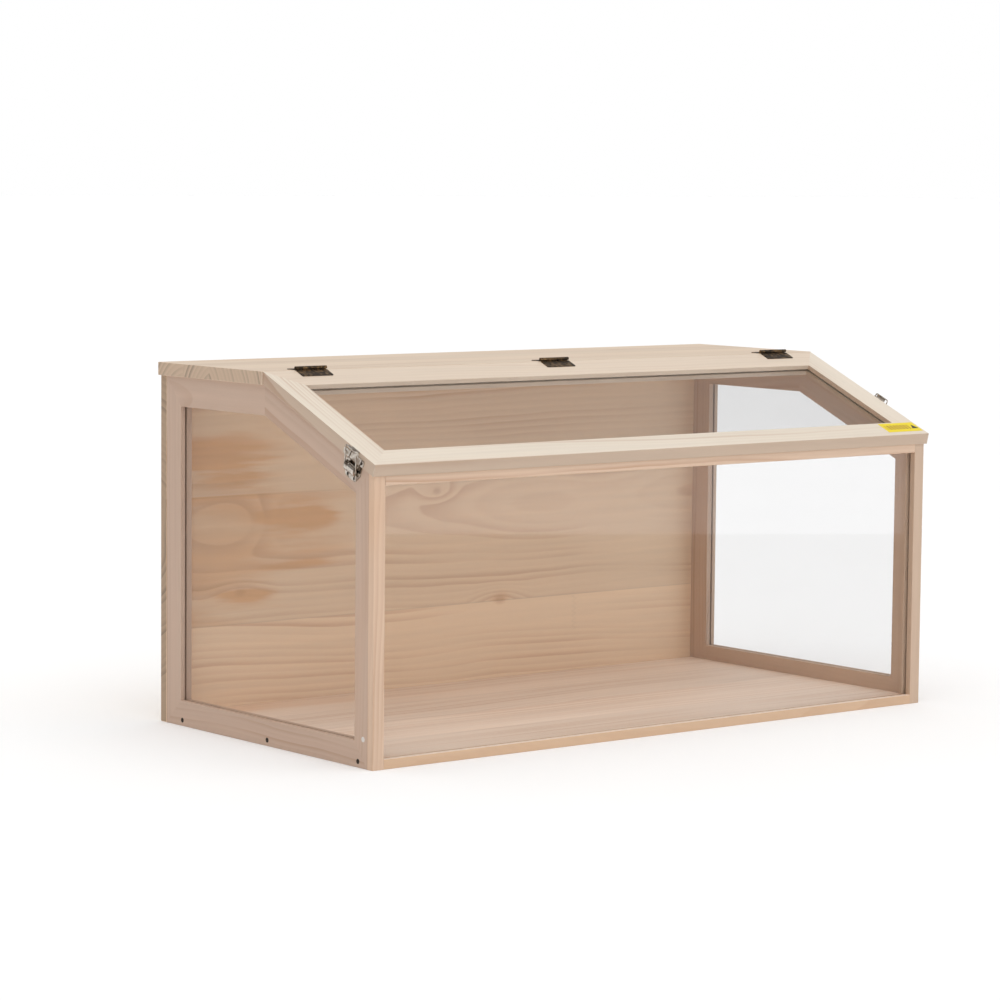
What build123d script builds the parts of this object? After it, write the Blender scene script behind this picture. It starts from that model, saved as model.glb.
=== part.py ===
from build123d import *
import os
from math import atan2, cos, hypot, sin, tan

# Cold frame: a wooden case with glazed sides and front. The rear half of its top is a flat
# board, and the front half is a glazed lid that slopes to the front. The lid turns on three
# butt hinges at the fold, and a draw latch holds it down at each side.
# Millimetres. The origin is on the ground, in the middle of the footprint.
# +Z is up, -Y is the front, +X is the right as seen from the front.

# ---------------------------------------------------------------- driving dimensions

# whole object
overall_width = 1000.0
overall_depth = 500.0
overall_height = 500.0
flat_depth = 250.0
nose_height = 394.0

# case
board_thickness = 18.0
board_overhang = 5.0
back_thickness = 14.0
floor_thickness = 13.0
side_thickness = 18.0
rear_stile_width = 36.0
front_stile_width = 28.0
bottom_rail_width = 35.0
top_rail_width = 41.0
post_thickness = 12.0
front_rail_height = 12.5
bead_depth = 7.0
bead_width = 4.5

# lid
lid_thickness = 16.0
lid_side_overhang = 3.5
lid_front_overhang = 6.0
lid_stile_width = 41.0
lid_top_rail_width = 44.0
lid_front_rail_width = 38.0
nose_setback = 3.7
lid_gap = 0.4
fold_gap = 0.5

# glazing
pane_thickness = 3.0
pane_inset = 6.5
groove_depth = 6.0
front_groove_depth = 5.0
floor_groove_depth = 4.0
pane_side_gap = 0.1
pane_edge_gap = 0.4

# eased edges of the wood
arris = 0.8

# how far a cutting shape runs past the faces it cuts, and a mitre line past its inner corner
past = 1.0
mitre_reach = 1.3

# butt hinges
hinge_end_distance = 79.0
hinge_length = 51.0
leaf_width = 20.0
leaf_thickness = 1.0
pin_height = 2.8
knuckle_radius = 2.2
knuckle_count = 5
knuckle_gap = 0.3
hinge_pin_radius = 1.0
fixed_bore_gap = 0.02
running_gap = 0.06
leaf_screw_spread = 30.0
leaf_screw_reach = 12.5
leaf_corner_radius = 1.5
web_depth = 1.3
web_height = 1.6

# draw latches: distance of each from the lid's nose, along the slope
left_latch_distance = 44.0
right_latch_distance = 114.0
plate_thickness = 1.0
base_width = 36.0
base_foot_width = 22.0
base_top = -2.5
base_height = 23.5
base_shoulder_height = 12.0
base_screw_inset = 3.6
base_corner_radius = 2.5
upper_screw_drop = 7.5
ear_thickness = 1.0
ear_gap = 0.5
ear_neck = 1.35
ear_foot = 2.7
lever_width = 22.0
lever_length = 13.0
lever_bulge = 3.2
lever_start = (2.0, 2.4)
lever_tip_rise = -1.1
lever_back_start = -0.4
lever_heel = (-1.5, -2.6)
lever_toe = (2.6, -1.0)
lever_thickness = 1.2
cheek_thickness = 1.0
lever_pin_radius = 0.9
lever_pin_drop = 6.0
lever_pin_rise = 4.5
wire_radius = 0.9
wire_side_gap = 0.7
claw_pivot_drop = 12.0
claw_pivot_rise = 5.4
claw_stub_inset = 1.4
claw_reach = 17.6
claw_bend_radius = 2.5
stub_bend_radius = 1.2
catch_width = 46.0
catch_height = 9.0
catch_bottom = 0.5
catch_screw_inset = 4.5
catch_corner_radius = 3.0
hook_width = 17.0
hook_radius = 3.4
hook_height = 16.4
hook_tip = 2.0
claw_hook_gap = 0.5

# screws: head radius, head depth, shank radius, length
wood_screw = (3.4, 2.6, 1.7, 32.0)
small_screw = (2.0, 1.2, 1.0, 9.0)
screw_gap = 0.05
side_screw_height = 8.0
side_screw_inset = 40.0
cap_radius = 3.6
cap_depth = 1.0
cap_height = 38.0
cap_inset = 9.0
back_screw_inset = 9.0
back_screw_depth = 0.3
back_screw_shares = (0.16, 0.5, 0.84)
floor_screw_shares = (-0.3, 0, 0.3)

# adhesive label on the lid's front rail
label_width = 68.0
label_height = 26.0
label_thickness = 0.3
label_end_distance = 4.0
label_nose_distance = 9.0

# ---------------------------------------------------------------- worked-out places

case_width = overall_width - 2 * board_overhang
case_half = case_width / 2
inner_half = case_half - side_thickness
rear_y = overall_depth / 2
back_face_y = rear_y - back_thickness
fold_y = rear_y - flat_depth
nose_y = -overall_depth / 2
front_y = nose_y + lid_front_overhang
stile_front_y = front_y + post_thickness
under_board = overall_height - board_thickness

slope = atan2(overall_height - nose_height, fold_y - nose_y)
slope_length = hypot(overall_height - nose_height, fold_y - nose_y)
lid_half = case_half + lid_side_overhang
pane_slot = pane_thickness + 2 * pane_side_gap
up_slope = (0, cos(slope), sin(slope))
lid_normal = (0, -sin(slope), cos(slope))
lid_plane = Plane(origin=(0, fold_y, overall_height), x_dir=(1, 0, 0), z_dir=lid_normal)

pin_y = fold_y - pin_height * tan(slope / 2)
pin_z = overall_height + pin_height
lever_pin = Vector(-lever_pin_drop, lever_pin_rise)


def lid_top_at(y):
    """Height of the lid's top face, or of its plane, at a depth y."""
    return overall_height + (y - fold_y) * tan(slope)


def under_lid_at(y, gap=lid_gap):
    """Height of a face that lies a gap below the lid's underside, at a depth y."""
    return lid_top_at(y) - (lid_thickness + gap) / cos(slope)


# ---------------------------------------------------------------- shared shapes

def block(x, y, z):
    """A box between two limits on each axis."""
    size = [high - low for low, high in (x, y, z)]
    middle = [(high + low) / 2 for low, high in (x, y, z)]
    return Pos(*middle) * Box(*size)


def side_prism(outline, x_low, x_high):
    """An outline of (y, z) points, extruded from x_low to x_high."""
    face = make_face(Polyline(*outline, close=True))
    return Plane.YZ.offset(x_low) * extrude(face, amount=x_high - x_low)


def along(edge, direction):
    """Whether a straight edge runs in a direction."""
    run = (edge @ 1) - (edge @ 0)
    return run.length > 0.5 and abs(run.normalized().dot(Vector(*direction).normalized())) > 0.999


def ease(part, direction):
    """Rounds a wooden piece's long edges."""
    return fillet([edge for edge in part.edges() if along(edge, direction)], arris)


def screw(head_radius, head_depth, shank_radius, length):
    """A countersunk screw with a cross recess, its flat head at z = 0 and its point below."""
    top = (Align.CENTER, Align.CENTER, Align.MAX)
    body = Cone(shank_radius, head_radius, head_depth, align=top)
    body += Pos(0, 0, -head_depth) * Cylinder(shank_radius, length - head_depth, align=top)
    slot = Box(1.1 * head_radius, 0.26 * head_radius, 0.5 * head_depth, align=top)
    return body - slot - Rot(0, 0, 90) * slot


def screw_hole(head_radius, head_depth, shank_radius, length):
    """The space that a screw takes, with its clearance."""
    top = (Align.CENTER, Align.CENTER, Align.MAX)
    hole = Cone(shank_radius + screw_gap, head_radius + screw_gap, head_depth, align=top)
    hole += Cylinder(shank_radius + screw_gap, length + screw_gap, align=top)
    return hole + Cylinder(head_radius + screw_gap, 2, align=(Align.CENTER, Align.CENTER, Align.MIN))


def drilled(part, seats, size):
    """A piece with a screw hole at each seat."""
    for seat in seats:
        part -= seat * screw_hole(*size)
    return part


def group(solids):
    """Several separate solids as one node."""
    return Compound(children=list(solids))


# ---------------------------------------------------------------- side frames

def frame_corners():
    """The side frame's outer corners, and the corners of its opening, from the rear bottom up."""
    outer = [
        (back_face_y, 0),
        (back_face_y, under_board),
        (fold_y, under_board),
        (stile_front_y, under_lid_at(stile_front_y)),
        (stile_front_y, 0),
    ]
    rear = back_face_y - rear_stile_width
    front = stile_front_y + front_stile_width
    top = under_board - top_rail_width
    inner = [
        (rear, bottom_rail_width),
        (rear, top),
        (fold_y, top),
        (front, top - (fold_y - front) * tan(slope)),
        (front, bottom_rail_width),
    ]
    return outer, inner


def grown(outline, distance):
    """An outline of (y, z) points, moved outwards by a distance."""
    face = make_face(Polyline(*outline, close=True))
    return offset(face, distance, kind=Kind.INTERSECTION)


def side_layer(face, outside, inside, side):
    """A (y, z) face extruded between two distances from the case's outer side face."""
    first = side * (case_half - outside)
    last = side * (case_half - inside)
    low = min(first, last)
    return Plane.YZ.offset(low) * extrude(face, amount=abs(last - first))


def space_above_rails():
    """The space that the lid and its gap take above the side frames, over the whole width."""
    outline = [
        (fold_y, under_lid_at(fold_y)),
        (fold_y, 2 * overall_height),
        (nose_y, 2 * overall_height),
        (nose_y, under_lid_at(nose_y)),
    ]
    return side_prism(outline, -overall_width / 2, overall_width / 2)


def side_member(start, end, side, groove):
    """One mitred member of a side frame, between two corners, with its pane groove."""
    outer, inner = frame_corners()
    outline = [outer[start], outer[end], inner[end], inner[start]]
    limits = sorted((side * inner_half, side * case_half))
    member = side_prism(outline, *limits)
    run = (0, inner[end][0] - inner[start][0], inner[end][1] - inner[start][1])
    return ease(member, run) - groove - space_above_rails()


def side_frame(side):
    """The five members of one side frame and its pane."""
    inner = frame_corners()[1]
    slot = grown(inner, groove_depth)
    groove = side_layer(slot, pane_inset, pane_inset + pane_slot, side)
    names = ["rear_stile", "top_rail", "sloped_rail", "front_stile", "bottom_rail"]
    members = {}
    for start, name in enumerate(names):
        members[name] = side_member(start, (start + 1) % len(names), side, groove)
    sheet = grown(inner, groove_depth - pane_edge_gap)
    outside = pane_inset + pane_side_gap
    members["pane"] = side_layer(sheet, outside, outside + pane_thickness, side)
    return members


# ---------------------------------------------------------------- case

def top_board():
    """The flat board over the rear half."""
    half = overall_width / 2
    board = block((-half, half), (fold_y, rear_y), (under_board, overall_height))
    return fillet(board.edges(), arris)


def back_panel():
    """The back wall, outside the side frames and under the top board."""
    panel = block((-case_half, case_half), (back_face_y, rear_y), (0, under_board))
    return fillet(panel.edges(), arris)


def floor_panel():
    """The floor between the side frames, with the front pane's groove."""
    floor = block((-inner_half, inner_half), (front_y, back_face_y), (0, floor_thickness))
    floor = ease(floor, (1, 0, 0))
    return floor - front_groove(floor_thickness - floor_groove_depth, floor_thickness + past)


def front_groove(low, high, half=case_half):
    """The slot of the front pane between two heights."""
    return block((-half, half), (stile_front_y - pane_slot, stile_front_y), (low, high))


def front_post(side):
    """A corner post over the front edge of a side frame, rebated for the front pane."""
    outline = [
        (front_y, 0),
        (stile_front_y, 0),
        (stile_front_y, under_lid_at(stile_front_y)),
        (front_y, under_lid_at(front_y)),
    ]
    post = side_prism(outline, *sorted((side * inner_half, side * case_half)))
    post = ease(post, (0, 0, 1))
    return post - front_groove(-past, overall_height, inner_half + front_groove_depth)


def front_rail_bottom():
    """Height of the front rail's lower edge."""
    return under_lid_at(front_y) - front_rail_height


def front_top_rail():
    """The rail between the posts, under the lid's nose, rebated for the front pane."""
    bottom = front_rail_bottom()
    outline = [
        (front_y, bottom),
        (stile_front_y, bottom),
        (stile_front_y, under_lid_at(stile_front_y)),
        (front_y, under_lid_at(front_y)),
    ]
    rail = ease(side_prism(outline, -inner_half, inner_half), (1, 0, 0))
    return rail - front_groove(bottom - past, bottom + front_groove_depth)


def front_pane():
    """The front pane, in the slots of the floor, the posts and the front rail."""
    half = inner_half + front_groove_depth - pane_edge_gap
    back = stile_front_y - pane_side_gap
    low = floor_thickness - floor_groove_depth + pane_edge_gap
    high = front_rail_bottom() + front_groove_depth - pane_edge_gap
    return block((-half, half), (back - pane_thickness, back), (low, high))


def glazing_bead(side):
    """A bead behind the front pane, on a side frame's front stile."""
    depth = (stile_front_y + pane_side_gap, stile_front_y + pane_side_gap + bead_depth)
    width = sorted((side * (inner_half - bead_width), side * inner_half))
    bead = block(width, depth, (floor_thickness, front_rail_bottom()))
    return ease(bead, (0, 0, 1))


# ---------------------------------------------------------------- screws of the case

def side_screw_seats(side):
    """Seats of the screws through a bottom rail into the floor."""
    rear = back_face_y - side_screw_inset
    front = stile_front_y + side_screw_inset / 2
    depths = [rear, (rear + front) / 2, front]
    return [
        Plane(origin=(side * case_half, y, side_screw_height), z_dir=(side, 0, 0)) for y in depths
    ]


def back_screw_seats():
    """Seats of the screws through the back panel, into the side frames and the floor."""
    seats = []
    face = rear_y - back_screw_depth
    for side in (-1, 1):
        x = side * (case_half - back_screw_inset)
        for share in back_screw_shares:
            seats.append(Plane(origin=(x, face, share * under_board), z_dir=(0, 1, 0)))
    for share in floor_screw_shares:
        x = share * case_width
        seats.append(Plane(origin=(x, face, floor_thickness / 2), z_dir=(0, 1, 0)))
    return seats


def cap_seat(side):
    """The seat of the round cap near the foot of a front stile."""
    depth = stile_front_y + cap_inset
    return Plane(origin=(side * case_half, depth, cap_height), z_dir=(side, 0, 0))


def cap_disc(gap=0.0):
    """A flush round cap over a screw, or the space for it."""
    top = (Align.CENTER, Align.CENTER, Align.MAX)
    return Cylinder(cap_radius + gap, cap_depth + gap, align=top)


# ---------------------------------------------------------------- lid

def lid_envelope():
    """The lid's outline from the side, over its whole width."""
    rear = fold_y - fold_gap
    back_of_nose = nose_y + nose_setback
    outline = [
        (rear, lid_top_at(rear)),
        (nose_y, nose_height),
        (back_of_nose, under_lid_at(back_of_nose, 0)),
        (rear, under_lid_at(rear, 0)),
    ]
    return side_prism(outline, -lid_half, lid_half)


def lid_corners():
    """The lid's outer corners and its opening's corners in the lid's plane, from rear left."""
    rear = -lid_top_rail_width
    front = lid_front_rail_width - slope_length
    half = lid_half - lid_stile_width
    outer = [(-lid_half, 0), (lid_half, 0), (lid_half, -slope_length), (-lid_half, -slope_length)]
    inner = [(-half, rear), (half, rear), (half, front), (-half, front)]
    return outer, inner


def lid_slab(outline, top, bottom):
    """An outline in the lid's plane, extruded between two depths below its top face."""
    face = make_face(Polyline(*outline, close=True))
    return lid_plane * Pos(0, 0, -bottom) * extrude(face, amount=bottom - top)


def lid_rectangle(growth):
    """The lid's opening, grown by a distance."""
    low, high = lid_corners()[1][3], lid_corners()[1][1]
    left, right = low[0] - growth, high[0] + growth
    front, rear = low[1] - growth, high[1] + growth
    return [(left, front), (right, front), (right, rear), (left, rear)]


def lid_member(start, direction):
    """One mitred member of the lid between corner number start and the next one."""
    outer, inner = lid_corners()
    end = (start + 1) % len(outer)
    reach = [
        tuple(i + mitre_reach * (o - i) for i, o in zip(inner[n], outer[n])) for n in (start, end)
    ]
    quad = [inner[start], reach[0], reach[1], inner[end]]
    member = lid_slab(quad, -past, lid_thickness + past) & lid_envelope()
    groove = lid_slab(lid_rectangle(groove_depth), pane_inset, pane_inset + pane_slot)
    return ease(member, direction) - groove


def lid_pane():
    """The lid's pane, in the grooves of its four members."""
    top = pane_inset + pane_side_gap
    return lid_slab(lid_rectangle(groove_depth - pane_edge_gap), top, top + pane_thickness)


def warning_label():
    """A plain label stuck on the right end of the lid's front rail."""
    right = lid_half - label_end_distance
    low = label_nose_distance - slope_length
    outline = [
        (right - label_width, low),
        (right, low),
        (right, low + label_height),
        (right - label_width, low + label_height),
    ]
    return lid_slab(outline, -label_thickness, 0)


# ---------------------------------------------------------------- hinges

def hinge_places():
    """Distances of the hinges' middles from the middle of the case."""
    reach = overall_width / 2 - hinge_end_distance
    return {"left": -reach, "middle": 0.0, "right": reach}


def fixed_leaf_plane(x):
    """The frame of a leaf on the top board: x along the pin, y away from it, z up."""
    return Plane(origin=(x, pin_y, pin_z), x_dir=(1, 0, 0), z_dir=(0, 0, 1))


def lid_leaf_plane(x):
    """The frame of a leaf on the lid."""
    return Plane(origin=(x, pin_y, pin_z), x_dir=(-1, 0, 0), z_dir=lid_normal)


def knuckle(index, bore):
    """One knuckle round the pin and the web that joins it to its leaf."""
    pitch = hinge_length / knuckle_count
    length = pitch - knuckle_gap
    middle = (index + 0.5) * pitch - hinge_length / 2
    barrel = Rot(0, 90, 0) * Cylinder(knuckle_radius, length)
    start = knuckle_radius - web_depth
    end = knuckle_radius + 2 * knuckle_gap + leaf_thickness
    web_top = web_height - pin_height
    web = block((-length / 2, length / 2), (start, end), (-pin_height, web_top))
    return Pos(middle, 0, 0) * (barrel + web - Rot(0, 90, 0) * Cylinder(bore, length + past))


def leaf_screw_places():
    """Screw places on a leaf, in the leaf's frame."""
    top = leaf_thickness - pin_height
    return [Pos(side * leaf_screw_spread / 2, leaf_screw_reach, top) for side in (-1, 1)]


def hinge_leaf(indices, bore):
    """A leaf with its knuckles and screw holes, in the leaf's frame."""
    plate_start = knuckle_radius + 2 * knuckle_gap
    half = hinge_length / 2 - knuckle_gap / 2
    bottom = -pin_height
    plate = block((-half, half), (plate_start, leaf_width), (bottom, bottom + leaf_thickness))
    corners = [e for e in plate.edges() if along(e, (0, 0, 1)) and e.center().Y > plate_start + past]
    leaf = fillet(corners, leaf_corner_radius)
    for index in indices:
        leaf += knuckle(index, bore)
    return drilled(leaf, leaf_screw_places(), small_screw)


def hinge_pin():
    """The hinge's pin, along x."""
    return Rot(0, 90, 0) * Cylinder(hinge_pin_radius, hinge_length)


# ---------------------------------------------------------------- draw latches

def latch_plane(side):
    """The frame of a latch on a case side: x along the slope, y square to the lid, z outwards."""
    distance = left_latch_distance if side < 0 else right_latch_distance
    down = slope_length - distance
    y = fold_y - down * cos(slope) + lid_thickness * sin(slope)
    z = overall_height - down * sin(slope) - lid_thickness * cos(slope)
    run = tuple(side * value for value in up_slope)
    return Plane(origin=(side * case_half, y, z), x_dir=run, z_dir=(side, 0, 0))


def face_prism(face, x_low, x_high):
    """A face drawn in (y, z), extruded from x_low to x_high."""
    return Plane.YZ.offset(x_low) * extrude(face, amount=x_high - x_low)


def rod(y, z, radius, x_low, x_high):
    """A rod along x at (y, z)."""
    return face_prism(Pos(y, z) * Circle(radius), x_low, x_high)


def mirrored(part):
    """A shape and its mirror image in x."""
    return part + part.mirror(Plane.YZ)


def latch_ear():
    """One ear of a latch base, beside the lever's pin."""
    outer = lever_width / 2 - cheek_thickness - ear_gap
    outline = [
        (-lever_pin_drop - ear_foot, plate_thickness / 2),
        (-lever_pin_drop + ear_neck, plate_thickness / 2),
        (-lever_pin_drop + ear_neck, lever_pin_rise),
        (-lever_pin_drop - ear_neck, lever_pin_rise),
    ]
    ear = side_prism(outline, outer - ear_thickness, outer)
    return ear + rod(-lever_pin_drop, lever_pin_rise, ear_neck, outer - ear_thickness, outer)


def base_screw_places():
    """Screw places on a latch base: a pair at its shoulders and a pair at its foot."""
    upper = (base_width / 2 - base_screw_inset, base_top - upper_screw_drop)
    lower = (base_foot_width / 2 - base_screw_inset, base_top - base_height + base_screw_inset)
    return [Pos(side * x, y, plate_thickness) for x, y in (upper, lower) for side in (-1, 1)]


def latch_base():
    """The plate on the case that carries the lever."""
    half = base_width / 2
    foot = base_foot_width / 2
    shoulder = base_top - base_shoulder_height
    bottom = base_top - base_height
    outline = [(half, base_top), (half, shoulder), (foot, bottom)]
    outline += [(-x, y) for x, y in reversed(outline)]
    face = make_face(Polyline(*outline, close=True))
    plate = extrude(fillet(face.vertices(), base_corner_radius), amount=plate_thickness)
    base = plate + mirrored(latch_ear())
    base -= rod(-lever_pin_drop, lever_pin_rise, lever_pin_radius + fixed_bore_gap, -half, half)
    return drilled(base, base_screw_places(), small_screw)


def latch_pin():
    """The pin that the lever turns on."""
    half = lever_width / 2 + 0.5 * wire_side_gap
    return rod(-lever_pin_drop, lever_pin_rise, lever_pin_radius, -half, half)


def lever_arc():
    """The start, crown, end and centre of the lever's outer curve, in (y, z)."""
    start = lever_pin + Vector(*lever_start)
    end = lever_pin + Vector(-lever_length, lever_tip_rise)
    chord = end - start
    outward = Vector(chord.Y, -chord.X).normalized()
    radius = (chord.length ** 2 / 4 + lever_bulge ** 2) / (2 * lever_bulge)
    crown = (start + end) * 0.5 + outward * lever_bulge
    return start, crown, end, crown - outward * radius


def latch_lever():
    """The arched lever with its two cheeks."""
    start, crown, end, centre = lever_arc()
    share = 1 - lever_thickness / (crown - centre).length
    inner = [centre + (point - centre) * share for point in (end, crown, start)]
    edges = [ThreePointArc(start, crown, end), Line(end, inner[0])]
    edges += [ThreePointArc(*inner), Line(inner[2], start)]
    half = lever_width / 2
    lever = face_prism(make_face(edges), -half, half)
    above_pin = (lever_back_start - lever_pin_drop, 0)
    lever -= block((-half - past, half + past), above_pin, (0, 2 * lever_pin_rise))
    heel = lever_pin + Vector(*lever_heel)
    toe = lever_pin + Vector(*lever_toe)
    outline = [ThreePointArc(start, crown, end), Line(end, heel), Line(heel, toe), Line(toe, start)]
    lever += mirrored(face_prism(make_face(outline), half - cheek_thickness, half))
    hole = lever_pin_radius + running_gap
    lever -= rod(-lever_pin_drop, lever_pin_rise, hole, -half - past, half + past)
    hole = wire_radius + running_gap
    return lever - rod(-claw_pivot_drop, claw_pivot_rise, hole, -half - past, half + past)


def claw_bar_place():
    """The place of the claw's cross bar, in (y, z): just outboard of the catch's hook."""
    rise = lid_side_overhang + 2 * hook_radius + claw_hook_gap + wire_radius
    return claw_reach, rise


def latch_claw():
    """The wire claw that turns in the lever's cheeks and passes in front of the catch's hook."""
    reach, rise = claw_bar_place()
    run = Vector(0, reach + claw_pivot_drop, rise - claw_pivot_rise)
    pivot = (0, -claw_pivot_drop, claw_pivot_rise)
    plane = Plane(origin=pivot, x_dir=(1, 0, 0), z_dir=Vector(1, 0, 0).cross(run).normalized())
    leg = lever_width / 2 + wire_side_gap + wire_radius
    stub = lever_width / 2 - claw_stub_inset
    points = [(-stub, 0), (-leg, 0), (-leg, run.length), (leg, run.length), (leg, 0), (stub, 0)]
    bends = [stub_bend_radius, claw_bend_radius, claw_bend_radius, stub_bend_radius]
    path = plane * FilletPolyline(*points, radius=bends)
    section = Plane(origin=path @ 0, z_dir=path % 0) * Circle(wire_radius)
    return sweep(section, path=path)


def catch_screw_places():
    """Screw places on a catch, one at each end."""
    middle = catch_bottom + catch_height / 2
    reach = catch_width / 2 - catch_screw_inset
    top = lid_side_overhang + plate_thickness
    return [Pos(side * reach, middle, top) for side in (-1, 1)]


def catch_hook():
    """The catch's hook: a strip that rises from the plate, curls out and turns up again."""
    face = lid_side_overhang
    half = hook_width / 2
    width = (-half, half)
    outer = rod(hook_height, face + hook_radius, hook_radius, -half, half)
    curl = outer - rod(hook_height, face + hook_radius, hook_radius - plate_thickness, -half, half)
    curl -= block(width, (hook_height, hook_height + hook_radius), (face, face + 2 * hook_radius))
    strip = block(width, (catch_bottom, hook_height), (face, face + plate_thickness))
    end = face + 2 * hook_radius
    tip = block(width, (hook_height, hook_height + hook_tip), (end - plate_thickness, end))
    return curl + strip + tip


def latch_catch():
    """The plate on the lid's edge, with the hook that the claw draws down."""
    half = catch_width / 2
    face = lid_side_overhang
    high = catch_bottom + catch_height
    plate = block((-half, half), (catch_bottom, high), (face, face + plate_thickness))
    plate = fillet([e for e in plate.edges() if along(e, (0, 0, 1))], catch_corner_radius)
    return drilled(plate + catch_hook(), catch_screw_places(), small_screw)


# ---------------------------------------------------------------- assembly

def hinge_seats(leaf_plane):
    """Seats of the screws of all three leaves that a plane function places."""
    return [leaf_plane(x) * place for x in hinge_places().values() for place in leaf_screw_places()]


def case_nodes():
    """The case's wood and glazing, by node name."""
    nodes = {"floor_panel": floor_panel(), "front_top_rail": front_top_rail()}
    nodes["back_panel"] = drilled(back_panel(), back_screw_seats(), wood_screw)
    nodes["top_board"] = drilled(top_board(), hinge_seats(fixed_leaf_plane), small_screw)
    nodes["front_pane"] = front_pane()
    for side, name in ((-1, "left"), (1, "right")):
        latch_seats = [latch_plane(side) * place for place in base_screw_places()]
        for piece, solid in side_frame(side).items():
            nodes[f"{name}_{piece}"] = solid
        for piece in ("sloped_rail", "front_stile"):
            key = f"{name}_{piece}"
            nodes[key] = drilled(nodes[key], latch_seats, small_screw)
        key = f"{name}_bottom_rail"
        nodes[key] = drilled(nodes[key], side_screw_seats(side), wood_screw)
        key = f"{name}_front_stile"
        nodes[key] -= cap_seat(side) * cap_disc(screw_gap)
        nodes["floor_panel"] = drilled(nodes["floor_panel"], side_screw_seats(side), wood_screw)
        for piece in ("rear_stile", "bottom_rail", "top_rail"):
            key = f"{name}_{piece}"
            nodes[key] = drilled(nodes[key], back_screw_seats(), wood_screw)
        nodes[f"{name}_front_post"] = front_post(side)
        nodes[f"{name}_glazing_bead"] = glazing_bead(side)
    nodes["floor_panel"] = drilled(nodes["floor_panel"], back_screw_seats(), wood_screw)
    return nodes


def lid_nodes():
    """The lid's wood, pane and label, by node name."""
    nodes = {
        "lid_top_rail": drilled(lid_member(0, (1, 0, 0)), hinge_seats(lid_leaf_plane), small_screw),
        "lid_front_rail": lid_member(2, (1, 0, 0)),
        "lid_pane": lid_pane(),
        "warning_label": warning_label(),
    }
    for side, name, start in ((-1, "left", 3), (1, "right", 1)):
        seats = [latch_plane(side) * place for place in catch_screw_places()]
        stile = lid_member(start, up_slope)
        nodes[f"lid_{name}_stile"] = drilled(stile, seats, small_screw)
    return nodes


def hinge_nodes():
    """The three hinges, by node name."""
    nodes = {}
    fixed_bore = hinge_pin_radius + fixed_bore_gap
    free_bore = hinge_pin_radius + running_gap
    for name, x in hinge_places().items():
        case_leaf = hinge_leaf(range(0, knuckle_count, 2), fixed_bore)
        lid_leaf = hinge_leaf(range(1, knuckle_count, 2), free_bore)
        nodes[f"{name}_hinge_case_leaf"] = fixed_leaf_plane(x) * case_leaf
        nodes[f"{name}_hinge_lid_leaf"] = lid_leaf_plane(x) * lid_leaf
        nodes[f"{name}_hinge_pin"] = fixed_leaf_plane(x) * hinge_pin()
    return nodes


def latch_nodes():
    """The two draw latches, by node name."""
    nodes = {}
    for side, name in ((-1, "left"), (1, "right")):
        plane = latch_plane(side)
        nodes[f"{name}_latch_base"] = plane * latch_base()
        nodes[f"{name}_latch_pin"] = plane * latch_pin()
        nodes[f"{name}_latch_lever"] = plane * latch_lever()
        nodes[f"{name}_latch_claw"] = plane * latch_claw()
        nodes[f"{name}_latch_catch"] = plane * latch_catch()
    return nodes


def screw_nodes():
    """The screws, grouped by what they hold, by node name."""
    both = (-1, 1)
    base = [latch_plane(side) * place for side in both for place in base_screw_places()]
    catch = [latch_plane(side) * place for side in both for place in catch_screw_places()]
    case_side = [seat for side in both for seat in side_screw_seats(side)]
    small = screw(*small_screw)
    large = screw(*wood_screw)
    return {
        "hinge_case_screws": group(seat * small for seat in hinge_seats(fixed_leaf_plane)),
        "hinge_lid_screws": group(seat * small for seat in hinge_seats(lid_leaf_plane)),
        "latch_base_screws": group(seat * small for seat in base),
        "latch_catch_screws": group(seat * small for seat in catch),
        "side_screws": group(seat * large for seat in case_side),
        "back_screws": group(seat * large for seat in back_screw_seats()),
        "stile_caps": group(cap_seat(side) * cap_disc() for side in both),
    }


def build():
    """Every node of the cold frame, by name."""
    return {**case_nodes(), **lid_nodes(), **hinge_nodes(), **latch_nodes(), **screw_nodes()}


os.makedirs("parts", exist_ok=True)
for node, shape in build().items():
    export_step(shape, f"parts/{node}.step")
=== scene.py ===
import math

import bmesh
import bpy
from mathutils import Matrix, Vector


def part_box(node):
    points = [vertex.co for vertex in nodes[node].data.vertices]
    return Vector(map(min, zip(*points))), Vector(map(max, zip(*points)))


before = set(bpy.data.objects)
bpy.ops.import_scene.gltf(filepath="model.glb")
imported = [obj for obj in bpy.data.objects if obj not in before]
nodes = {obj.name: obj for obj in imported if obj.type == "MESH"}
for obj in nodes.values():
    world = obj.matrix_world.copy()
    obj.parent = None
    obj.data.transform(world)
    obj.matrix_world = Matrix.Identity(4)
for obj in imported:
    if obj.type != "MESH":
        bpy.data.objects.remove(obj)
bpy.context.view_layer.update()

# The looks of a cold frame: bare pine, clear acrylic panes, antiqued bronze hinges, nickel
# latches and a printed label. Metres. The case's shapes all come from the frame.


# ---------------------------------------------------------------- shader arithmetic

class Value:
    """A shader socket. Arithmetic on it adds Math nodes."""

    def __init__(self, graph, socket):
        self.graph = graph
        self.socket = socket

    def math(self, operation, *others):
        values = dict(enumerate((self, *others)))
        return self.graph.node("ShaderNodeMath", {"operation": operation}, values)

    def __add__(self, other):
        return self.math("ADD", other)

    def __sub__(self, other):
        return self.math("SUBTRACT", other)

    def __rsub__(self, other):
        return self.math("MULTIPLY_ADD", -1.0, other)

    def __mul__(self, other):
        return self.math("MULTIPLY", other)

    def __truediv__(self, other):
        return self.math("DIVIDE", other)

    def __pow__(self, other):
        return self.math("POWER", other)

    __radd__ = __add__
    __rmul__ = __mul__

    def ramp(self, low, high):
        """0 below low and 1 above high, smoothly between."""
        settings = {"interpolation_type": "SMOOTHSTEP"}
        return self.graph.node("ShaderNodeMapRange", settings, {0: self, 1: low, 2: high})


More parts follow.
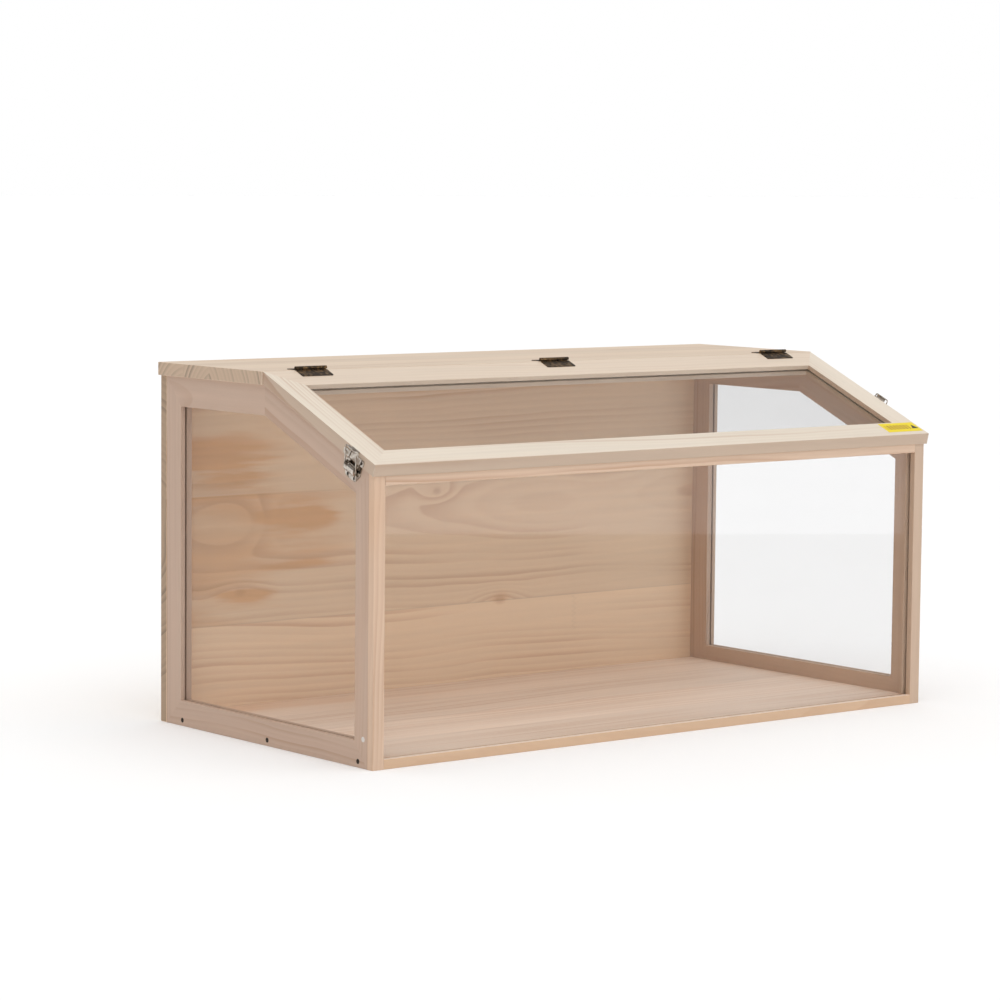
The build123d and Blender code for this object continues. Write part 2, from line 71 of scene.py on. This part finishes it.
class Graph:
    """A tree of shader nodes."""

    def __init__(self, tree):
        self.tree = tree

    def feed(self, socket, value):
        if isinstance(value, Value):
            self.tree.links.new(value.socket, socket)
        else:
            socket.default_value = value

    def node(self, kind, settings, values, output=0):
        """A node of a kind, with its settings made first and then its sockets filled."""
        made = self.tree.nodes.new(kind)
        for key, setting in settings.items():
            if key == "stops":
                self.place_stops(made.color_ramp, setting)
            else:
                setattr(made, key, setting)
        for key, value in values.items():
            self.feed(made.inputs[key], value)
        return Value(self, made.outputs[output])

    def place_stops(self, ramp, stops):
        """Gives a ramp its stops: colours that change in steps."""
        ramp.interpolation = "CONSTANT"
        while len(ramp.elements) < len(stops):
            ramp.elements.new(1.0)
        for element, (position, shade) in zip(ramp.elements, stops):
            element.position = position
            element.color = (*shade, 1.0)

    def outputs(self, kind, values, names):
        """Several outputs of one node."""
        sockets = self.node(kind, {}, values, names[0]).socket.node.outputs
        return [Value(self, sockets[name]) for name in names]

    def split(self, vector):
        """A vector's three parts."""
        return self.outputs("ShaderNodeSeparateXYZ", {0: vector}, (0, 1, 2))

    def join(self, x, y, z):
        return self.node("ShaderNodeCombineXYZ", {}, {0: x, 1: y, 2: z})


class Finish(Graph):
    """A material's nodes round one Principled shader."""

    def __init__(self, name):
        self.material = bpy.data.materials.new(name)
        self.material.use_nodes = True
        super().__init__(self.material.node_tree)
        self.surface = self.tree.nodes["Principled BSDF"]
        self.place, self.facing = self.outputs("ShaderNodeTexCoord", {}, ("Object", "Normal"))

    def set(self, **values):
        """Values or links for the Principled shader's sockets."""
        for key, value in values.items():
            self.feed(self.surface.inputs[key.replace("_", " ").title()], value)
        return self.material

    def turned(self, centre, turn):
        """Object coordinates about a centre, along the axes of a rotation."""
        values = {"Vector": self.place, "Location": centre, "Rotation": turn}
        return self.node("ShaderNodeMapping", {"vector_type": "TEXTURE"}, values)

    def noise(self, vector, scale=1.0, detail=2.0, roughness=0.5):
        values = {"Vector": vector, "Scale": scale, "Detail": detail, "Roughness": roughness}
        return self.node("ShaderNodeTexNoise", {"noise_dimensions": "3D"}, values)

    def mix(self, share, first, second, blend="MIX"):
        """A blend of two colours."""
        settings = {"data_type": "RGBA", "blend_type": blend}
        return self.node("ShaderNodeMix", settings, {0: share, 6: first, 7: second}, 2)

    def towards(self, direction):
        """How nearly the surface faces along a direction, either way."""
        values = {0: self.facing, 1: direction}
        cosine = self.node("ShaderNodeVectorMath", {"operation": "DOT_PRODUCT"}, values, 1)
        return cosine.math("ABSOLUTE")

    def bump(self, height, strength, distance):
        values = {"Height": height, "Strength": strength, "Distance": distance}
        return self.node("ShaderNodeBump", {}, values)


def colour(red, green, blue):
    """A linear colour from the 0 to 255 values that a screen shows."""
    parts = [value / 255 for value in (red, green, blue)]
    linear = [p / 12.92 if p <= 0.04045 else ((p + 0.055) / 1.055) ** 2.4 for p in parts]
    return (*linear, 1.0)


def clothe(node, material):
    """Gives a CAD node its material."""
    slots = nodes[node].data.materials
    slots.clear()
    slots.append(material)


# ---------------------------------------------------------------- pine

# Shares of a tone's red, green and blue.
HEARTWOOD = (0.88, 0.69, 0.50)
LATEWOOD = (0.70, 0.52, 0.40)
KNOT = (0.50, 0.30, 0.19)

# Half widths of a line, where it starts to fade and where it is gone.
GLUE_LINE = (0.0002, 0.0010)
FINGER_LINE = (0.0003, 0.0011)
FINGER_PITCH = 0.0075
FINGER_LENGTH = 0.008


def tinted(tone, red, green, blue):
    """A linear colour multiplied part by part."""
    return (tone[0] * red, tone[1] * green, tone[2] * blue, 1.0)


def grain_turn(along, face):
    """The rotation whose x runs along the grain and whose z is the board's face normal."""
    x = Vector(along).normalized()
    z = Vector(face).normalized()
    return Matrix((x, z.cross(x), z)).transposed().to_euler()


class Pine(Finish):
    """
    Planed pine. The year rings are shells round a pith that rises along the board, so a face
    shows long lines or arches and an end shows arcs. x runs along the grain, y across the
    face and z out of it, from the piece's middle.
    """

    def __init__(self, name, centre, along, face, seed):
        super().__init__(name)
        self.along = Vector(along).normalized()
        self.face = Vector(face).normalized()
        self.x, self.y, self.z = self.split(self.turned(centre, grain_turn(along, face)))
        self.run = self.x + self.y * 1.6
        self.own = seed * 1.7
        self.drift = 0.0
        self.tint = 0.5
        self.warm = 0.0
        self.seams = 0.0

    def glue(self, low, high, strips):
        """Splits the panel into glued boards: (lower edge, pith drift, tint, warmth) each."""
        stops = [((edge - low) / (high - low), parts) for edge, *parts in strips]
        share = (self.y - low) / (high - low)
        board = self.node("ShaderNodeValToRGB", {"stops": stops}, {0: share})
        drift, self.tint, self.warm = self.split(board)
        self.drift = (drift - 0.5) * 0.2
        self.own = self.own + drift * 31.0
        for edge, *_ in strips[1:]:
            self.seams = self.seams + (1 - (self.y - edge).math("ABSOLUTE").ramp(*GLUE_LINE))

    def away(self, spot, stretch=1.0):
        """The distance from a spot on the face, shorter along the grain by a stretch."""
        along = (self.x - spot[0]) / stretch
        across = self.y - spot[1]
        return (along * along + across * across).math("SQRT")

    def rings(self, ring, pith, rise, knots):
        """How far through its year the wood is, and how strong that year's line is."""
        wide = self.join(self.run * 2.1 + self.own, self.y * 5.0, self.own)
        broad = self.noise(wide, 1.0, 2.0, 0.35)
        sway = self.noise(self.join(self.x * 3.1, self.own, self.own + 4.0), 1.0, 1.0)
        fine = self.join(self.run * 9.0 + self.own, self.y * 34.0, self.z * 34.0)
        curl = self.noise(fine, 1.0, 2.0)
        out = self.y - pith[0] - self.drift + (broad - 0.5) * 0.040 + (curl - 0.5) * 0.004
        deep = self.z - pith[1] - self.x * rise + (sway - 0.5) * 0.045
        phase = (out * out + deep * deep).math("SQRT") / ring
        for spot in knots:
            phase = phase + (1 - self.away(spot, 2.2).ramp(0.0, spot[2] * 3.2)) * spot[3]
        year = self.noise(self.join(phase.math("FLOOR") * 7.3, self.own, 2.0), 1.0, 0.0)
        saw = phase.math("FRACT")
        line = saw.ramp(0.10, 0.90) * (1 - saw.ramp(0.90, 1.0))
        fade = self.noise(self.join(self.run * 2.6 + self.own, self.y * 11.0, 8.0), 1.0, 1.0)
        return line * (0.25 + year.ramp(0.40, 0.66)) * fade.ramp(0.25, 0.70)

    def warm_up(self, spots):
        """Adds patches of orange heartwood: (x, y, half height, stretch, strength) each."""
        torn = self.noise(self.join(self.run * 7.0, self.y * 60.0, self.own), 1.0, 3.0)
        for x, y, reach, stretch, strength in spots:
            edge = self.away((x, y), stretch) / reach + (torn - 0.5) * 0.9
            self.warm = self.warm + (1 - edge.ramp(0.15, 1.0)) * strength

    def finished(self, tone, ring=0.0065, pith=(0.03, -0.04), rise=0.02, lines=0.6, heart=0.35,
                 knots=(), fingers=(), sawn=(0.80, 0.72, 0.66), sides=(1.0, 1.0, 1.0)):
        """The finished material, from its colour and its figure."""
        late = self.rings(ring, pith, rise, knots)
        hairs = self.join(self.x * 16.0, self.y * 1000.0, self.z * 1000.0)
        fibre = self.noise(hairs, 1.0, 3.0, 0.6)
        bands = self.join(self.x * 2.6 + self.own, self.y * 95.0, self.z * 95.0)
        streak = self.noise(bands, 1.0, 3.0)
        cloud = self.noise(self.join(self.run * 2.2 + self.own, self.y * 9.0, self.own), 1.0, 2.0)
        fleck = self.noise(self.join(self.x * 70.0, self.y * 1300.0, self.z * 1300.0), 1.0, 1.0)
        warmth = (cloud + self.warm * 0.5).ramp(0.78 - heart * 0.6, 1.20 - heart * 0.6)
        base = self.mix(warmth, tone, tinted(tone, *HEARTWOOD))
        shade = self.mix(late * lines, base, tinted(tone, *LATEWOOD))
        for spot in knots:
            reach = self.away(spot, 1.35) + (fibre - 0.5) * spot[2] * 0.3
            core = (1 - reach.ramp(spot[2] * 0.2, spot[2])) * spot[4]
            shade = self.mix(core, shade, tinted(tone, *KNOT))
        level = 1.0 + (fibre - 0.5) * 0.10 + (streak - 0.5) * 0.15 + (cloud - 0.5) * 0.10
        level = level + (self.tint - 0.5) * 0.30 - self.seams * 0.12 - fleck.ramp(0.68, 0.78) * 0.09
        for spot in fingers:
            tooth = ((self.y / FINGER_PITCH).math("FRACT") - 0.5).math("ABSOLUTE")
            teeth = tooth * (2 * FINGER_LENGTH)
            cut = 1 - (self.x - spot[0] - teeth).math("ABSOLUTE").ramp(*FINGER_LINE)
            inside = 1 - (self.y - spot[1]).math("ABSOLUTE").ramp(spot[2], spot[2] + 0.001)
            level = level - cut * inside * 0.16
        face = self.mix(1.0, shade, self.join(level, level, level), "MULTIPLY")
        # Faces turned away from the board's face are multiplied by sides; on the lid pieces this is
        # painted shade against their sheen-pale faces.
        flank = 1 - self.towards(self.face).ramp(0.60, 0.90)
        face = self.mix(flank, face, tinted(sides, 1.0, 1.0, 1.0), "MULTIPLY")
        end = self.towards(self.along).ramp(0.80, 0.95)
        arcs = [part * 0.62 for part in sawn]
        end_face = self.mix(late, tinted(tone, *sawn), tinted(tone, *arcs))
        rough = 0.50 + fibre * 0.16 - late * 0.08
        normal = self.bump(fibre * 0.5 + late * 0.35, 0.16, 0.0004)
        return self.set(base_color=self.mix(end, face, end_face), roughness=rough, normal=normal)


def middle(node):
    low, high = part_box(node)
    return (low + high) / 2


X = (1, 0, 0)
Y = (0, 1, 0)
Z = (0, 0, 1)
FRONT = (0, -1, 0)
slope = math.atan2(0.106, 0.250)
UP_SLOPE = (0, math.cos(slope), math.sin(slope))
LID_FACE = (0, -math.sin(slope), math.cos(slope))

# Painted light in these tones: the top and lid tones are paler as a painted sheen, the side tones
# darker as painted shade, and the front tone between, as if lit more than the sides.
TOP_SHEEN_TONE = colour(226, 206, 184)
LID_SHEEN_TONE = colour(231, 217, 198)
LEFT_SHADED_TONE = colour(202, 174, 154)
RIGHT_SHADED_TONE = colour(206, 178, 154)
FRONT_LIT_TONE = colour(223, 192, 166)
BACK_TONE = colour(241, 213, 181)
FLOOR_TONE = colour(244, 224, 206)


def back_panel():
    """Three glued boards, with orange heartwood and an oval figure towards the left end."""
    centre = middle("back_panel")
    wood = Pine("pine_back_panel", centre, X, FRONT, 1.4)
    low = centre.z
    wood.glue(-low, low, [(-low, 0.42, 0.85, 0.0), (0.128 - low, 0.66, 0.50, 0.10),
                          (0.309 - low, 0.30, 0.44, 0.10)])
    wood.warm_up([(-0.40, 0.375 - low, 0.060, 3.4, 1.0), (-0.27, 0.272 - low, 0.024, 3.6, 0.9),
                  (-0.42, 0.240 - low, 0.180, 1.6, 0.75), (-0.36, 0.168 - low, 0.012, 6.0, 0.7),
                  (0.096, 0.130 - low, 0.022, 1.8, 0.6), (-0.26, 0.205 - low, 0.010, 9.0, 0.5)])
    knots = [(-0.406, 0.272 - low, 0.020, 4.0, 0.06), (-0.024, 0.298 - low, 0.008, 1.5, 0.35),
             (0.096, 0.130 - low, 0.011, 2.0, 0.30), (-0.372, 0.173 - low, 0.010, 1.0, 0.22)]
    fingers = [(-0.012, 0.252 - low, 0.014), (0.236, 0.100 - low, 0.026)]
    look = dict(ring=0.0095, pith=(0.0, -0.055), rise=0.05, lines=0.55, heart=0.26)
    clothe("back_panel", wood.finished(BACK_TONE, knots=knots, fingers=fingers,
                                       sawn=(0.50, 0.46, 0.44), **look))


def glued_panel(node, seed, tone, low, high, **look):
    """A horizontal panel of four glued boards."""
    wood = Pine(f"pine_{node}", middle(node), X, Z, seed)
    width = (high - low) / 4
    parts = [(0.40, 0.45, 0.0), (0.72, 0.60, 0.2), (0.25, 0.40, 0.1), (0.60, 0.55, 0.3)]
    wood.glue(low, high, [(low + width * i, *part) for i, part in enumerate(parts)])
    clothe(node, wood.finished(tone, **look))


def dress_wood():
    """A material of its own for each wooden piece, so that no two boards match; the tones of the
    top, lid, sides and front also paint in how light falls on them.
    """
    back_panel()
    glued_panel("top_board", 2.0, TOP_SHEEN_TONE, -0.126, 0.126, ring=0.008, lines=0.40, heart=0.15)
    glued_panel("floor_panel", 3.0, FLOOR_TONE, -0.244, 0.244, ring=0.007, lines=0.65, heart=0.12,
                sides=(0.80, 0.66, 0.52))
    boards = {
        "front_top_rail": (X, FRONT, 4.0, FRONT_LIT_TONE, dict(pith=(0.09, -0.03))),
        "lid_top_rail": (X, LID_FACE, 5.0, TOP_SHEEN_TONE, dict(pith=(0.08, -0.04))),
        "lid_front_rail": (X, LID_FACE, 6.0, LID_SHEEN_TONE, dict(pith=(0.09, -0.05))),
        "lid_left_stile": (UP_SLOPE, LID_FACE, 7.0, LID_SHEEN_TONE, dict(pith=(0.1, -0.03))),
        "lid_right_stile": (UP_SLOPE, LID_FACE, 8.0, LID_SHEEN_TONE, dict(pith=(0.08, -0.03))),
    }
    sides = {"left": ((-1, 0, 0), 10.0, LEFT_SHADED_TONE), "right": ((1, 0, 0), 20.0, RIGHT_SHADED_TONE)}
    for side, (face, start, tone) in sides.items():
        members = {
            "rear_stile": (Z, face, (0.09, -0.03)),
            "front_stile": (Z, face, (0.08, -0.03)),
            "front_post": (Z, FRONT, (0.07, -0.04)),
            "glazing_bead": (Z, FRONT, (0.07, -0.04)),
            "top_rail": (Y, face, (0.01, -0.04)),
            "bottom_rail": (Y, face, (0.09, -0.03)),
            "sloped_rail": (UP_SLOPE, face, (0.03, -0.05)),
        }
        for number, (member, (along, outwards, pith)) in enumerate(members.items()):
            # Painted light: the left side's front-facing members take the paler front tone, as the
            # front is lit more than the side.
            own = FRONT_LIT_TONE if outwards == FRONT and side == "left" else tone
            look = dict(pith=pith, lines=0.42)
            boards[f"{side}_{member}"] = (along, outwards, start + number, own, look)
    for node, (along, face, seed, tone, look) in boards.items():
        wood = Pine(f"pine_{node}", middle(node), along, face, seed)
        # Painted shade: the lid pieces' edge faces are darkened against their sheen-pale top faces.
        if tone == LID_SHEEN_TONE:
            look["sides"] = (0.71, 0.60, 0.53)
        material = wood.finished(tone, **look)
        if face == LID_FACE:
            wood.set(coat_weight=0.8, coat_roughness=0.32)
        clothe(node, material)


# ---------------------------------------------------------------- acrylic

def acrylic(name, face):
    """Clear sheet: nearly all see-through, with a sheen at low angles, and sawn edges painted a
    pale warm colour as painted light gathered in the sheet.
    """
    sheet = Finish(name)
    facing = sheet.node("ShaderNodeLayerWeight", {}, {"Blend": 0.5}, 1)
    dust = sheet.noise(sheet.place, 9.0, 4.0, 0.6)
    edge = 1 - sheet.towards(face).ramp(0.50, 0.90)
    sheet.material.surface_render_method = "BLENDED"
    # Painted light: the sawn edges take a pale warm colour that stands in for light the sheet
    # carries to its edges.
    shade = sheet.mix(edge, colour(149, 150, 154), colour(236, 226, 214))
    return sheet.set(base_color=shade, metallic=1.0, roughness=0.01 + dust * 0.02,
                     alpha=0.038 + dust * 0.012 + facing ** 5.0 * 0.96 + edge * 0.9)


# ---------------------------------------------------------------- metal

def bronze():
    """Antiqued bronze plate: dark brown with worn brassy high spots."""
    metal = Finish("antique_bronze")
    patch = metal.noise(metal.place, 160.0, 5.0, 0.6)
    fine = metal.noise(metal.place, 1400.0, 3.0, 0.6)
    worn = (patch + fine * 0.35).ramp(0.62, 0.86)
    shade = metal.mix(worn, colour(52, 42, 32), colour(128, 100, 66))
    return metal.set(base_color=shade, metallic=0.85, roughness=0.46 - worn * 0.14 + fine * 0.1,
                     normal=metal.bump(fine, 0.12, 0.0002))


def nickel():
    """Bright nickel plate with small scratches, and darker patches painted in as dark reflections
    and shade.
    """
    metal = Finish("nickel_plate")
    x, y, z = metal.split(metal.place)
    scratch = metal.noise(metal.join(x * 900.0, y * 90.0, z * 2600.0), 1.0, 3.0, 0.6)
    # Painted reflection and shade: darker noise patches stand in for the dark surroundings that
    # bright nickel reflects.
    painted_dark_reflection = metal.noise(metal.place, 110.0, 4.0, 0.6)
    shade = metal.mix(painted_dark_reflection.ramp(0.38, 0.68), colour(206, 198, 188), colour(132, 116, 102))
    return metal.set(base_color=shade, metallic=1.0, roughness=0.10 + scratch * 0.14,
                     normal=metal.bump(scratch, 0.08, 0.0002))


def dark_steel():
    """Blackened screw steel."""
    metal = Finish("black_screw_steel")
    fine = metal.noise(metal.place, 900.0, 4.0, 0.6)
    shade = metal.mix(fine, colour(34, 30, 27), colour(88, 78, 70))
    return metal.set(base_color=shade, metallic=0.9, roughness=0.35 + fine * 0.25)


# ---------------------------------------------------------------- plastics

def cap_plastic():
    """Pale moulded cap."""
    cap = Finish("cap_plastic")
    grain = cap.noise(cap.place, 700.0, 3.0, 0.6)
    shade = cap.mix(grain, colour(214, 206, 200), colour(232, 226, 220))
    return cap.set(base_color=shade, roughness=0.45 + grain * 0.1,
                   normal=cap.bump(grain, 0.1, 0.0002))


def label_film():
    """Yellow film with plain orange bars and one small dark triangle."""
    film = Finish("label_film")
    low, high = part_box("warning_label")
    turn = grain_turn(X, LID_FACE)
    x, y, z = film.split(film.turned((low + high) / 2, turn))
    half_width = (high.x - low.x) / 2
    grain = film.noise(film.place, 500.0, 3.0, 0.6)
    ground = film.mix(grain, colour(238, 212, 10), colour(246, 224, 26))
    stripe = (x / 0.0065).math("FRACT")
    bars = stripe.ramp(0.30, 0.36) * (1 - stripe.ramp(0.72, 0.78))
    height = y.math("ABSOLUTE")
    band = 1 - height.ramp(0.0062, 0.0068)
    before_sign = 1 - x.ramp(half_width - 0.017, half_width - 0.0165)
    after_margin = x.ramp(-half_width + 0.005, -half_width + 0.0055)
    reach = before_sign * after_margin
    printed = film.mix(bars * band * reach, ground, colour(140, 70, 8))
    tx = (x - (half_width - 0.008)).math("ABSOLUTE")
    rise = y + 0.0055
    triangle = (1 - (tx * 1.8 + rise).ramp(0.0112, 0.0118)) * rise.ramp(0.0, 0.0004)
    marked = film.mix(triangle, printed, colour(40, 36, 28))
    return film.set(base_color=marked, roughness=0.45 + grain * 0.1)


def dress_fittings():
    """Materials of the panes, fittings, screws and label."""
    panes = {"left_pane": X, "right_pane": X, "front_pane": Y, "lid_pane": LID_FACE}
    for node, face in panes.items():
        clothe(node, acrylic(f"clear_acrylic_{node}", face))
        nodes[node].visible_shadow = False
    dark_bronze = bronze()
    plate = nickel()
    for node in nodes:
        if "hinge" in node:
            clothe(node, dark_bronze)
        elif "latch" in node:
            clothe(node, plate)
    steel = dark_steel()
    for node in ("side_screws", "back_screws", "latch_base_screws", "latch_catch_screws"):
        clothe(node, steel)
    clothe("stile_caps", cap_plastic())
    clothe("warning_label", label_film())


# ---------------------------------------------------------------- studio

WHITE = (1, 1, 1, 1)
FLOOR_GLOW = 0.06
FLOOR_HALF_SIZE = 60.0
FLOOR_DROP = 0.0002
FILL_AT_HORIZON = 0.24
FILL_OVERHEAD = 0.95
SUN_STRENGTH = 1.05
SUN_SPREAD = math.radians(70)
SUN_TILT = (math.radians(24), math.radians(-4), 0)


def ground():
    """A pale floor that glows a little, so that it meets the white surround."""
    pale = Finish("studio_floor")
    grain = pale.noise(pale.place, 3.0, 3.0)
    shade = pale.mix(grain, colour(250, 250, 250), colour(253, 253, 253))
    paper = pale.set(base_color=shade, roughness=0.9, emission_color=WHITE,
                     emission_strength=FLOOR_GLOW)
    paper.cycles.emission_sampling = "NONE"
    form = bmesh.new()
    bmesh.ops.create_grid(form, x_segments=1, y_segments=1, size=FLOOR_HALF_SIZE)
    bmesh.ops.translate(form, verts=form.verts, vec=(0, 0, -FLOOR_DROP))
    mesh = bpy.data.meshes.new("studio_floor")
    form.to_mesh(mesh)
    form.free()
    mesh.materials.append(paper)
    floor = bpy.data.objects.new("studio_floor", mesh)
    bpy.context.scene.collection.objects.link(floor)


def surround():
    """A world that the camera sees as plain white, and whose fill light grows with height."""
    world = bpy.data.worlds.new("studio")
    bpy.context.scene.world = world
    world.use_nodes = True
    graph = Graph(world.node_tree)
    up = graph.split(graph.node("ShaderNodeTexCoord", {}, {}, "Generated"))[2]
    reach = {"Value": up, "To Min": FILL_AT_HORIZON, "To Max": FILL_OVERHEAD}
    fill = graph.tree.nodes["Background"]
    graph.feed(fill.inputs["Color"], WHITE)
    graph.feed(fill.inputs["Strength"], graph.node("ShaderNodeMapRange", {}, reach))
    seen = graph.node("ShaderNodeBackground", {}, {"Color": WHITE, "Strength": 1.0})
    ray = graph.node("ShaderNodeLightPath", {}, {}, "Is Camera Ray")
    parts = {0: ray, 1: Value(graph, fill.outputs[0]), 2: seen}
    blend = graph.node("ShaderNodeMixShader", {}, parts)
    graph.feed(graph.tree.nodes["World Output"].inputs["Surface"], blend)


def overhead():
    """Soft light from above."""
    lamp = bpy.data.lights.new("overhead", "SUN")
    lamp.energy = SUN_STRENGTH
    lamp.angle = SUN_SPREAD
    sun = bpy.data.objects.new("overhead", lamp)
    sun.rotation_euler = SUN_TILT
    bpy.context.scene.collection.objects.link(sun)


def reflector():
    """A low white panel in front of the case, seen only as a soft sheen in its front pane."""
    lamp = bpy.data.lights.new("reflector", "AREA")
    lamp.shape = "RECTANGLE"
    lamp.size = 5.0
    lamp.size_y = 1.0
    area = lamp.size * lamp.size_y
    lamp.energy = 1.9 * math.pi * area
    panel = bpy.data.objects.new("reflector", lamp)
    run = Vector((0.835, 0.551, 0))
    back = Vector((run.y, -run.x, 0))
    turn = Matrix((run, Vector(Z), back)).transposed().to_4x4()
    panel.matrix_world = Matrix.Translation((1.70, -2.19, 0.5)) @ turn
    panel.visible_camera = False
    panel.visible_diffuse = False
    panel.visible_transmission = False
    bpy.context.scene.collection.objects.link(panel)


def camera():
    """The camera, front left of the case and a little above it."""
    heading, dip, roll = (math.radians(angle) for angle in (38.7035, 5.4456, 0.562))
    data = bpy.data.cameras.new("camera")
    data.sensor_width = 36.0
    data.lens = 125.516
    data.shift_y = -0.005
    data.clip_end = 200.0
    lens = bpy.data.objects.new("camera", data)
    aim = Matrix.Rotation(-heading, 4, "Z") @ Matrix.Rotation(math.pi / 2 - dip, 4, "X")
    place = Matrix.Translation((-3.12913, -3.78701, 0.77745))
    lens.matrix_world = place @ aim @ Matrix.Rotation(roll, 4, "Z")
    bpy.context.scene.collection.objects.link(lens)
    bpy.context.scene.camera = lens


dress_wood()
dress_fittings()
ground()
surround()
overhead()
reflector()
camera()
bpy.context.scene.view_settings.view_transform = "Standard"
